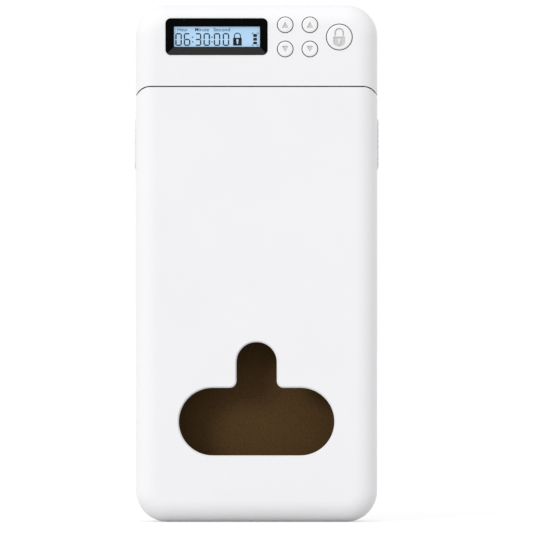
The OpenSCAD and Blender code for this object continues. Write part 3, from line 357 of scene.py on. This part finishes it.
def moulded(name, color, roughness, grain=0.12 * MM, depth=0.003 * MM, drift=0.035, dulling=0.08,
            edge=0.0, **sockets):
    """Moulded plastic: a fine spark-eroded grain, and a slow drift in tone and gloss."""
    surface = Surface(name, color, roughness, **sockets)
    slow = surface.noise(DRIFT_SIZE, detail=3)
    surface.color_between(darker(color, 1 - drift), slow)
    surface.roughness_between(roughness + dulling, slow)
    surface.bump(surface.noise(grain), depth, edge=edge)
    return surface.material


def brushed(name, color, roughness, along=(60, 1, 1), depth=0.002 * MM, shade=0.82, dulling=0.14):
    """Brushed or drawn metal, with its lines drawn out along an axis."""
    surface = Surface(name, color, roughness, metallic=1.0)
    lines = surface.noise(BRUSH_LINE, detail=3, stretch=along)
    surface.color_between(darker(color, shade), lines)
    surface.roughness_between(roughness + dulling, lines)
    surface.bump(lines, depth, strength=0.6)
    return surface.material


def foam(name, color, shade=0.6):
    """Foam, darker and raised at the borders between its cells."""
    surface = Surface(name, color, 0.95, Specular_IOR_Level=0.1, Sheen_Weight=0.05,
                      Sheen_Roughness=0.6)
    cells = surface.cells(FOAM_CELL)
    surface.color_between(darker(color, shade), cells)
    surface.bump(cells, 0.08 * MM, strength=0.6)
    return surface.material


def circuit_board(name):
    """Green solder mask over fine copper tracks."""
    surface = Surface(name, (0.015, 0.13, 0.05), 0.32)
    tracks = add_node(surface.tree, "TexBrick", {"Vector": surface.place, "Scale": 380.0,
                                                 "Mortar Size": 0.012}).outputs["Fac"]
    surface.color_between((0.03, 0.24, 0.10), tracks)
    surface.bump(tracks, 0.02 * MM)
    return surface.material


def display_glass(name):
    """The lit face of the display, whose glow varies slowly across it."""
    surface = Surface(name, (0.36, 0.54, 0.735), 0.25)
    tone = surface.color_between((0.43, 0.65, 0.87), surface.noise(9 * MM, detail=1))
    surface.tree.links.new(tone, surface.shader.inputs["Emission Color"])
    surface.shader.inputs["Emission Strength"].default_value = DISPLAY_GLOW
    return surface.material


def clear_plastic(name):
    surface = Surface(name, (0.05, 0.06, 0.07), 0.08, Alpha=0.1)
    surface.bump(surface.noise(6 * MM, detail=1), 0.002 * MM, strength=0.3)
    return surface.material


white_shell = moulded("white_shell", (0.87, 0.87, 0.885), 0.42, edge=0.25 * MM,
                      Coat_Weight=0.12, Coat_Roughness=0.3)
white_button = moulded("white_button", (0.88, 0.88, 0.89), 0.3, grain=0.3 * MM,
                       depth=0.001 * MM, Coat_Weight=0.3)
symbol_grey = moulded("symbol_grey", (0.63, 0.63, 0.64), 0.5)
# dark rubber for the keypad's flange and stems: a real part, whose dark colour paints the shade in
# the gap around each cap
keypad_rubber_painted_shade = moulded("keypad_rubber_painted_shade", (0.05, 0.05, 0.052), 0.6, grain=0.2 * MM,
                        depth=0.006 * MM)
grip_rubber = moulded("grip_rubber", (0.82, 0.82, 0.835), 0.6, grain=0.2 * MM, depth=0.008 * MM)
sleeve_plastic = moulded("sleeve_plastic", (0.018, 0.014, 0.011), 0.5, grain=0.25 * MM,
                         depth=0.008 * MM)
pad_foam = foam("pad_foam", (0.115, 0.062, 0.022))
plate_steel = brushed("plate_steel", (0.58, 0.59, 0.60), 0.3, along=(1, 1, 60))
bolt_steel = brushed("bolt_steel", (0.62, 0.62, 0.63), 0.24)
screw_zinc = brushed("screw_zinc", (0.46, 0.47, 0.50), 0.34, along=(1, 1, 1))
can_nickel = brushed("can_nickel", (0.60, 0.58, 0.54), 0.28, along=(1, 1, 20))
gear_brass = brushed("gear_brass", (0.72, 0.50, 0.20), 0.3, along=(1, 1, 12))
bush_bronze = brushed("bush_bronze", (0.48, 0.27, 0.13), 0.45, along=(1, 1, 1), depth=0.006 * MM)
bezel_black = moulded("bezel_black", (0.0015, 0.0015, 0.0015), 0.3, grain=0.4 * MM,
                      depth=0.0006 * MM, Specular_IOR_Level=0.02)
# a lighter black for the bezel's lower border only: a painted highlight where that border would
# catch the light
bezel_painted_highlight = moulded("bezel_painted_highlight", (0.028, 0.028, 0.028), 0.45, grain=0.3 * MM,
                      depth=0.001 * MM, Specular_IOR_Level=0.05)
lcd_face = display_glass("lcd_face")
lcd_ink = moulded("lcd_ink", (0.004, 0.006, 0.010), 0.5, Specular_IOR_Level=0.1)
lens_clear = clear_plastic("lens_clear")
light_guide = moulded("light_guide", (0.80, 0.86, 0.90), 0.3)
strip_rubber = moulded("strip_rubber", (0.58, 0.16, 0.30), 0.7)
board_green = circuit_board("board_green")
package_black = moulded("package_black", (0.022, 0.022, 0.025), 0.55, depth=0.006 * MM)
housing_ivory = moulded("housing_ivory", (0.72, 0.68, 0.55), 0.4)
cell_foil = brushed("cell_foil", (0.66, 0.67, 0.69), 0.32, along=(1, 1, 1), depth=0.02 * MM)
tape_white = foam("tape_white", (0.72, 0.72, 0.70))
lead_red = moulded("lead_red", (0.48, 0.025, 0.02), 0.45)
lead_blue = moulded("lead_blue", (0.03, 0.08, 0.42), 0.45)
latch_acetal = moulded("latch_acetal", (0.62, 0.62, 0.61), 0.48)

NODE_MATERIALS = {
    white_shell: ["front_shell", "rear_shell", "cap_front_shell", "cap_rear_shell"],
    sleeve_plastic: ["inner_sleeve"],
    grip_rubber: ["grip_left", "grip_right"],
    pad_foam: ["back_pad", "base_cushion"],
    plate_steel: ["striker_left", "striker_right"],
    bolt_steel: ["bolt_left", "bolt_right", "output_shaft"],
    screw_zinc: ["striker_screws", "base_plate_screws", "board_screws", "bridge_screws",
                 "gearbox_screws"],
    bezel_black: ["display_bezel"],
    lens_clear: ["display_lens"],
    lcd_face: ["lcd_panel"],
    light_guide: ["backlight"],
    strip_rubber: ["contact_strip"],
    board_green: ["main_board"],
    can_nickel: ["switch_bodies", "crystal", "charging_socket", "gearbox", "motor"],
    package_black: ["controller_chip", "buzzer", "closure_sensor", "hour_up_plunger",
                    "hour_down_plunger", "minute_up_plunger", "minute_down_plunger",
                    "lock_plunger"],
    housing_ivory: ["lead_connectors"],
    cell_foil: ["battery_cell"],
    tape_white: ["battery_tape"],
    lead_red: ["battery_leads"],
    lead_blue: ["motor_leads"],
    latch_acetal: ["cap_base_plate", "latch_bridge"],
    gear_brass: ["pinion"],
    bush_bronze: ["shaft_bush"],
    white_button: ["hour_up_button", "hour_down_button", "minute_up_button",
                   "minute_down_button", "lock_button"],
}
for node_material, names in NODE_MATERIALS.items():
    for node_name in names:
        mesh = NODES[node_name].data
        mesh.materials.clear()
        mesh.materials.append(node_material)


# ---------- symbols ----------

def triangle(x, z, size, up):
    """A small triangle that points up (1) or down (-1)."""
    half, high = size / 2, size * TRIANGLE_HALF_H * up
    points = [(x - half, z - high), (x + half, z - high), (x, z + high)]
    return points if up > 0 else points[::-1]


def padlock_shackle(x, z, rise, w, h, thick):
    """The arch of a padlock, standing at a rise above z."""
    foot_z = z + rise
    outer, inner = w / 2, w / 2 - thick
    turn_z = foot_z + (h - outer)
    return ([(x + inner, foot_z), (x + outer, foot_z)] + arc(x, turn_z, outer, 0, 180, 12)
            + [(x - outer, foot_z), (x - inner, foot_z)] + arc(x, turn_z, inner, 180, 0, 12))


def padlock_body(x, z, rise, w, h, radius):
    """The body of a padlock, hanging from a rise above z, with its two lower corners rounded."""
    top_z = z + rise
    turn_z = top_z - h + radius
    half = w / 2
    return (arc(x - half + radius, turn_z, radius, 180, 270, 8)
            + arc(x + half - radius, turn_z, radius, -90, 0, 8)
            + [(x + half, top_z), (x - half, top_z)])


def keyhole(x, z, rise, radius, length):
    """A round hole at a rise above z, with a foot below it."""
    hole_z = z + rise
    foot = radius * KEYHOLE_FOOT
    return ([(x - foot, hole_z - length), (x + foot, hole_z - length)]
            + arc(x, hole_z, radius, -50, 230, 10))


# ---------- buttons ----------

def button(name, sunk_figures):
    """A cap with sunk symbols, a dark rubber flange behind the shell wall and a stem on the switch.
    The flange's dark colour is painted shade, seen in the gap around the cap.
    """
    low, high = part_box(name)
    x, z, w, h = middle_and_size(low, high)
    flange_r = w / 2
    cap_r = flange_r - BUTTON_RIM
    flat = SMALL_FLANGE_H / 2 if h < 2 * flange_r - BUTTON_RIM else flange_r
    flange_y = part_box("cap_front_shell")[0].y + FLANGE_DEPTH
    foot_y = flange_y + FLANGE_T / 3    # the cap and the stem reach into the flange
    form = Form()
    form.plate([(px, min(max(pz, z - flat), z + flat)) for px, pz in circle(x, z, flange_r)],
               flange_y, flange_y + FLANGE_T)
    form.plate(circle(x, z, STEM_R), foot_y, high.y)
    # flange and stem in the dark rubber: painted shade in the gap around the cap
    for face in form.bm.faces:
        face.material_index = RUBBER_SHADE
    face_y = low.y + BUTTON_CROWN
    profile = [(cap_r, foot_y)]
    profile += [(cap_r - BUTTON_ROUND * drawn_in, face_y + BUTTON_ROUND * left)
                for drawn_in, left in quarter_round(6)]
    profile += [(cap_r * share, low.y + BUTTON_CROWN * left) for share, left in CROWN_SHARES]
    cap = [form.level(circle(x, z, radius), y) for radius, y in profile]
    form.stack(cap)
    form.fill(cap[0])
    openings = [form.sunk(outline, islands, low.y, low.y + ICON_DEPTH, ICON_SLOPE, SYMBOL)
                for outline, islands in sunk_figures(x, z)]
    form.fill(cap[-1], *openings)
    piece = form.piece(name + "_cap", name, white_button, symbol_grey, keypad_rubber_painted_shade, smooth=50)
    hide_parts(name)


def up_symbol(x, z):
    return [(triangle(x, z, TRIANGLE_SIZE, 1), [])]


def down_symbol(x, z):
    return [(triangle(x, z, TRIANGLE_SIZE, -1), [])]


def lock_symbol(x, z):
    return [(padlock_shackle(x, z, *BUTTON_SHACKLE), []),
            (padlock_body(x, z, *BUTTON_LOCK_BODY), [keyhole(x, z, *BUTTON_KEYHOLE)])]


for prefix in ("hour", "minute"):
    button(prefix + "_up_button", up_symbol)
    button(prefix + "_down_button", down_symbol)
button("lock_button", lock_symbol)


# ---------- pads ----------

def crowned(x, z, w, h, radius, shoulder, crown, edge, foot):
    """Rows of a crowned pad from its foot to its middle: (outline, share of the height)."""
    rows = [(rounded_rect(x, z, w - 2 * cut_x, h - 2 * cut_z, radius), share)
            for cut_x, cut_z, share in foot]
    rows.append((rounded_rect(x, z, w, h, radius), shoulder - PAD_EDGE_SHARE))
    for drawn_in, left in quarter_round(5)[1:]:
        cut = edge * drawn_in
        rows.append((rounded_rect(x, z, w - 2 * cut, h - 2 * cut, radius),
                     shoulder - PAD_EDGE_SHARE * left))
    steps = 8
    for step in range(1, steps + 1):
        part = step / steps
        cut = edge + (crown - edge) * part
        corner_r = max(radius * (1 - part), PAD_TIP_R)
        rows.append((rounded_rect(x, z, w - 2 * cut, h - 2 * cut, corner_r),
                     shoulder + (1 - shoulder) * math.sin(math.pi / 2 * part)))
    return rows


def round_foot(radius, rise):
    """How far a rounded lower edge draws in at a height above its lowest point."""
    below = max(radius - rise, 0)
    return radius - math.sqrt(radius * radius - below * below)


def back_pad():
    """A thin foam pad on the sleeve's back wall, crowned towards the phone."""
    low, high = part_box("back_pad")
    deep = high.y - low.y
    rows = crowned(*middle_and_size(low, high), BACK_PAD_CORNER_R, BACK_PAD_SHOULDER,
                   BACK_PAD_CROWN, BACK_PAD_EDGE, [(0, 0, 0)])
    form = Form()
    form.close([form.level(outline, high.y - share * deep) for outline, share in rows])
    piece = form.piece("back_pad_foam", "container", pad_foam, smooth=60)
    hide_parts("back_pad")


def base_cushion():
    """A foam cushion on the bay's floor, crowned upwards, whose foot follows the rounded floor."""
    low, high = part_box("base_cushion")
    tall = high.z - low.z
    steps = 8
    foot = []
    for step in range(steps):
        rise = CUSHION_SHOULDER * tall * step / steps
        foot.append((round_foot(BAY_CORNER_R, rise) - round_foot(BAY_CORNER_R, tall),
                     round_foot(BAY_EDGE_R, rise), rise / tall))
    rows = crowned((low.x + high.x) / 2, (low.y + high.y) / 2, high.x - low.x, high.y - low.y,
                   BAY_EDGE_R, CUSHION_SHOULDER + PAD_EDGE_SHARE, CUSHION_CROWN, CUSHION_EDGE,
                   foot)
    form = Form()
    form.close([form.loop([(px, py, low.z + share * tall) for px, py in outline])
                for outline, share in rows])
    piece = form.piece("base_cushion_foam", "container", pad_foam, smooth=60)
    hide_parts("base_cushion")


back_pad()
base_cushion()


# ---------- display ----------

SEGMENTS = {"0": "abcdef", "3": "abcdg", "6": "acdefg"}


def segment(x, z, length, upright):
    """One segment of a digit, centred on x and z, with pointed ends."""
    half, tip = SEGMENT_W / 2, length / 2
    points = [(-tip, 0), (-tip + half, -half), (tip - half, -half),
              (tip, 0), (tip - half, half), (-tip + half, half)]
    if upright:
        points = [(-b, a) for a, b in points]
    return [(x + a, z + b) for a, b in points]


def digit(figure, x, z):
    """The dark segments of a seven-segment figure, centred on x and z."""
    side, row = (DIGIT_W - SEGMENT_W) / 2, (DIGIT_H - SEGMENT_W) / 4
    across, up = 2 * side - SEGMENT_GAP, 2 * row - SEGMENT_GAP
    places = {"a": (0, 2 * row, False), "g": (0, 0, False), "d": (0, -2 * row, False),
              "f": (-side, row, True), "b": (side, row, True),
              "e": (-side, -row, True), "c": (side, -row, True)}
    dark = [places[letter] for letter in SEGMENTS[figure]]
    return [segment(x + dx, z + dz, up if upright else across, upright)
            for dx, dz, upright in dark]


def text_piece(name, words, left, z, width, y, body, material):
    """Small generic lettering of a given width on a baseline at z, as a thin mesh in front of y."""
    curve = bpy.data.curves.new(name, "FONT")
    curve.body = words
    curve.size = 1.0
    curve.extrude = INK_THICKNESS / 2
    curve.offset = LETTER_WEIGHT
    drawn = bpy.data.objects.new(name + "_curve", curve)
    bpy.context.scene.collection.objects.link(drawn)
    depsgraph = bpy.context.evaluated_depsgraph_get()
    mesh = bpy.data.meshes.new_from_object(drawn.evaluated_get(depsgraph))
    bpy.data.objects.remove(drawn)
    first = min(v.co.x for v in mesh.vertices)
    across = width / (max(v.co.x for v in mesh.vertices) - first)
    up = LETTER_H / max(v.co.y for v in mesh.vertices)
    for vert in mesh.vertices:
        vert.co = Vector((left + (vert.co.x - first) * across,
                          y + vert.co.z - INK_THICKNESS / 2,
                          z + vert.co.y * up))
    mesh.materials.clear()
    mesh.materials.append(material)
    mesh.name = name
    obj = bpy.data.objects.new(name, mesh)
    bpy.context.scene.collection.objects.link(obj)
    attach(obj, body)


def bezel():
    """A frame whose four borders slope in to the glass."""
    low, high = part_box("display_bezel")
    glass_low, glass_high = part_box("display_lens")
    x, z, w, h = middle_and_size(low, high)
    seat_y = low.y + BEZEL_T
    outer = rounded_rect(x, z, w, h, BEZEL_CORNER_R)
    neck = rounded_rect(x, z, w - 2 * BEZEL_FLANGE, h - 2 * BEZEL_FLANGE, NECK_CORNER_R)
    window = rounded_rect(x + WINDOW_SHIFT, z, WINDOW_W, WINDOW_H, WINDOW_CORNER_R)
    seat = rounded_rect(x, z, glass_high.x - glass_low.x + LENS_GAP,
                        glass_high.z - glass_low.z + LENS_GAP, WINDOW_CORNER_R)
    form = Form()
    rows = [form.level(seat, high.y), form.level(neck, high.y), form.level(neck, seat_y),
            form.level(outer, seat_y)]
    rows += [form.level(inset(outer, BEZEL_ROUND * drawn_in), low.y + BEZEL_ROUND * left)
             for drawn_in, left in quarter_round(4)]
    rows += [form.level(inset(outer, BEZEL_ROUND + BEZEL_RIM), low.y),
             form.level(window, low.y + SLOPE_DEPTH), form.level(window, glass_low.y),
             form.level(seat, glass_low.y), rows[0]]
    form.stack(rows)
    for face in form.bm.faces:    # the lower border is a lighter satin black: a painted highlight, as if it caught the light from above
        middle = face.calc_center_median()
        below = z - WINDOW_H / 2 - middle.z
        if below > 0 and abs(middle.x - x) < WINDOW_W / 2 + below:
            face.material_index = 1
    piece = form.piece("bezel_frame", "cap", bezel_black, bezel_painted_highlight)
    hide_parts("display_bezel")


def display():
    """The glass of the display and what it shows."""
    low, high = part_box("lcd_panel")
    face_y = low.y + LCD_RECESS
    x, z, w, h = middle_and_size(low, high)
    form = Form()
    form.plate(rectangle(x, z, w, h), face_y, high.y)
    panel = form.piece("lcd_glass", "cap", lcd_face)
    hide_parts("lcd_panel")

    ink_y = face_y - INK_THICKNESS
    ink = Form()
    row_z = z + DIGIT_ROW_Z
    for figure, offset in TIME:
        for outline in digit(figure, x + offset, row_z):
            ink.plate(outline, ink_y, face_y)
    for offset in COLON_X:
        for rise in COLON_Z:
            ink.plate(circle(x + offset, row_z + rise, COLON_R, 12), ink_y, face_y)

    lock_x, lock_z = x + PADLOCK_X, z + PADLOCK_Z
    ink.plate(padlock_shackle(lock_x, lock_z, *DISPLAY_SHACKLE), ink_y, face_y)
    outlines = [padlock_body(lock_x, lock_z, *DISPLAY_LOCK_BODY),
                keyhole(lock_x, lock_z, *DISPLAY_KEYHOLE)]
    front = [ink.level(outline, ink_y) for outline in outlines]
    back = [ink.level(outline, face_y) for outline in outlines]
    for front_loop, back_loop in zip(front, back):
        ink.bridge(front_loop, back_loop)
    ink.fill(*front)
    ink.fill(*back)

    battery_x = x + BATTERY_X
    for rise, tall in BATTERY_BARS:
        ink.plate(rounded_rect(battery_x, z + rise, BATTERY_BAR_W, tall, BATTERY_BAR_R, 4),
                  ink_y, face_y)
    for sx in (-1, 1):
        for sz in (-1, 1):
            corner_x, corner_z = battery_x + sx * MARK_X, z + BATTERY_Z + sz * MARK_Z
            length, shift = MARK_UPRIGHT
            ink.plate(rectangle(corner_x, corner_z - sz * shift, MARK_STROKE, length),
                      ink_y, face_y)
            length, shift = MARK_LEVEL
            ink.plate(rectangle(corner_x - sx * shift, corner_z, length, MARK_STROKE),
                      ink_y, face_y)
    ink.piece("display_figures", "cap", lcd_ink)

    for word, left, width in LABELS:
        text_piece("label_" + word.lower(), word, x + left, z + LABEL_Z, width, face_y, "cap",
                   lcd_ink)


bezel()
display()


# ---------- stage ----------

def seen_directly(tree):
    """1 for rays from the camera, in gloss or through glass, and 0 for the rest."""
    path = add_node(tree, "LightPath")
    seen = path.outputs["Is Camera Ray"]
    for kind in ("Is Glossy Ray", "Is Transmission Ray"):
        seen = add_node(tree, "Math", {0: seen, 1: path.outputs[kind]},
                        operation="MAXIMUM").outputs[0]
    return seen


def make_floor():
    """A pale floor that fades into the background but keeps the object's shadow."""
    bpy.ops.mesh.primitive_plane_add(size=FLOOR_SIZE, location=(0, 0, 0))
    floor = bpy.context.object
    floor.name = "floor"
    surface = Surface("floor_white", (FLOOR_COLOR,) * 3, 0.9, Specular_IOR_Level=0.0)
    seen = seen_directly(surface.tree)
    plain = surface.shader.outputs[0]
    glow = add_node(surface.tree, "Emission", {"Strength": FLOOR_GLOW})
    both = add_node(surface.tree, "AddShader", {0: plain, 1: glow.outputs[0]})
    choice = add_node(surface.tree, "MixShader", {0: seen, 1: plain, 2: both.outputs[0]})
    output = surface.tree.nodes["Material Output"]
    surface.tree.links.new(choice.outputs[0], output.inputs["Surface"])
    floor.data.materials.append(surface.material)


def make_world():
    """White where it is seen directly, in gloss or through glass, and a soft fill elsewhere."""
    world = bpy.data.worlds.new("studio")
    bpy.context.scene.world = world
    world.use_nodes = True
    tree = world.node_tree
    tree.nodes.clear()
    strength = add_node(tree, "MapRange", {"Value": seen_directly(tree), "To Min": AMBIENT,
                                           "To Max": 1.0})
    background = add_node(tree, "Background", {"Color": (1, 1, 1, 1),
                                               "Strength": strength.outputs["Result"]})
    output = add_node(tree, "OutputWorld")
    tree.links.new(background.outputs[0], output.inputs["Surface"])


def make_key_light():
    """One wide, soft lamp. Gloss shows the white room instead of it, so no flat face glares."""
    data = bpy.data.lights.new("key_light", "SUN")
    data.angle = math.radians(KEY_SOFTNESS)
    data.energy = KEY_LEVEL * math.pi
    light = bpy.data.objects.new("key_light", data)
    light.rotation_euler = (-Vector(KEY_TOWARDS)).to_track_quat("-Z", "Y").to_euler()
    light.visible_glossy = False
    bpy.context.scene.collection.objects.link(light)


def make_camera():
    data = bpy.data.cameras.new("camera")
    data.sensor_width = SENSOR
    data.lens = SENSOR * CAMERA_DISTANCE / VIEW_WIDTH
    data.clip_start = 0.01
    camera = bpy.data.objects.new("camera", data)
    camera.location = (CAMERA_X, CAMERA_FROM_Y - CAMERA_DISTANCE, CAMERA_Z)
    camera.rotation_euler = (math.radians(90), 0, 0)
    bpy.context.scene.collection.objects.link(camera)
    bpy.context.scene.camera = camera


make_floor()
make_world()
make_key_light()
make_camera()
bpy.context.scene.view_settings.view_transform = "Standard"
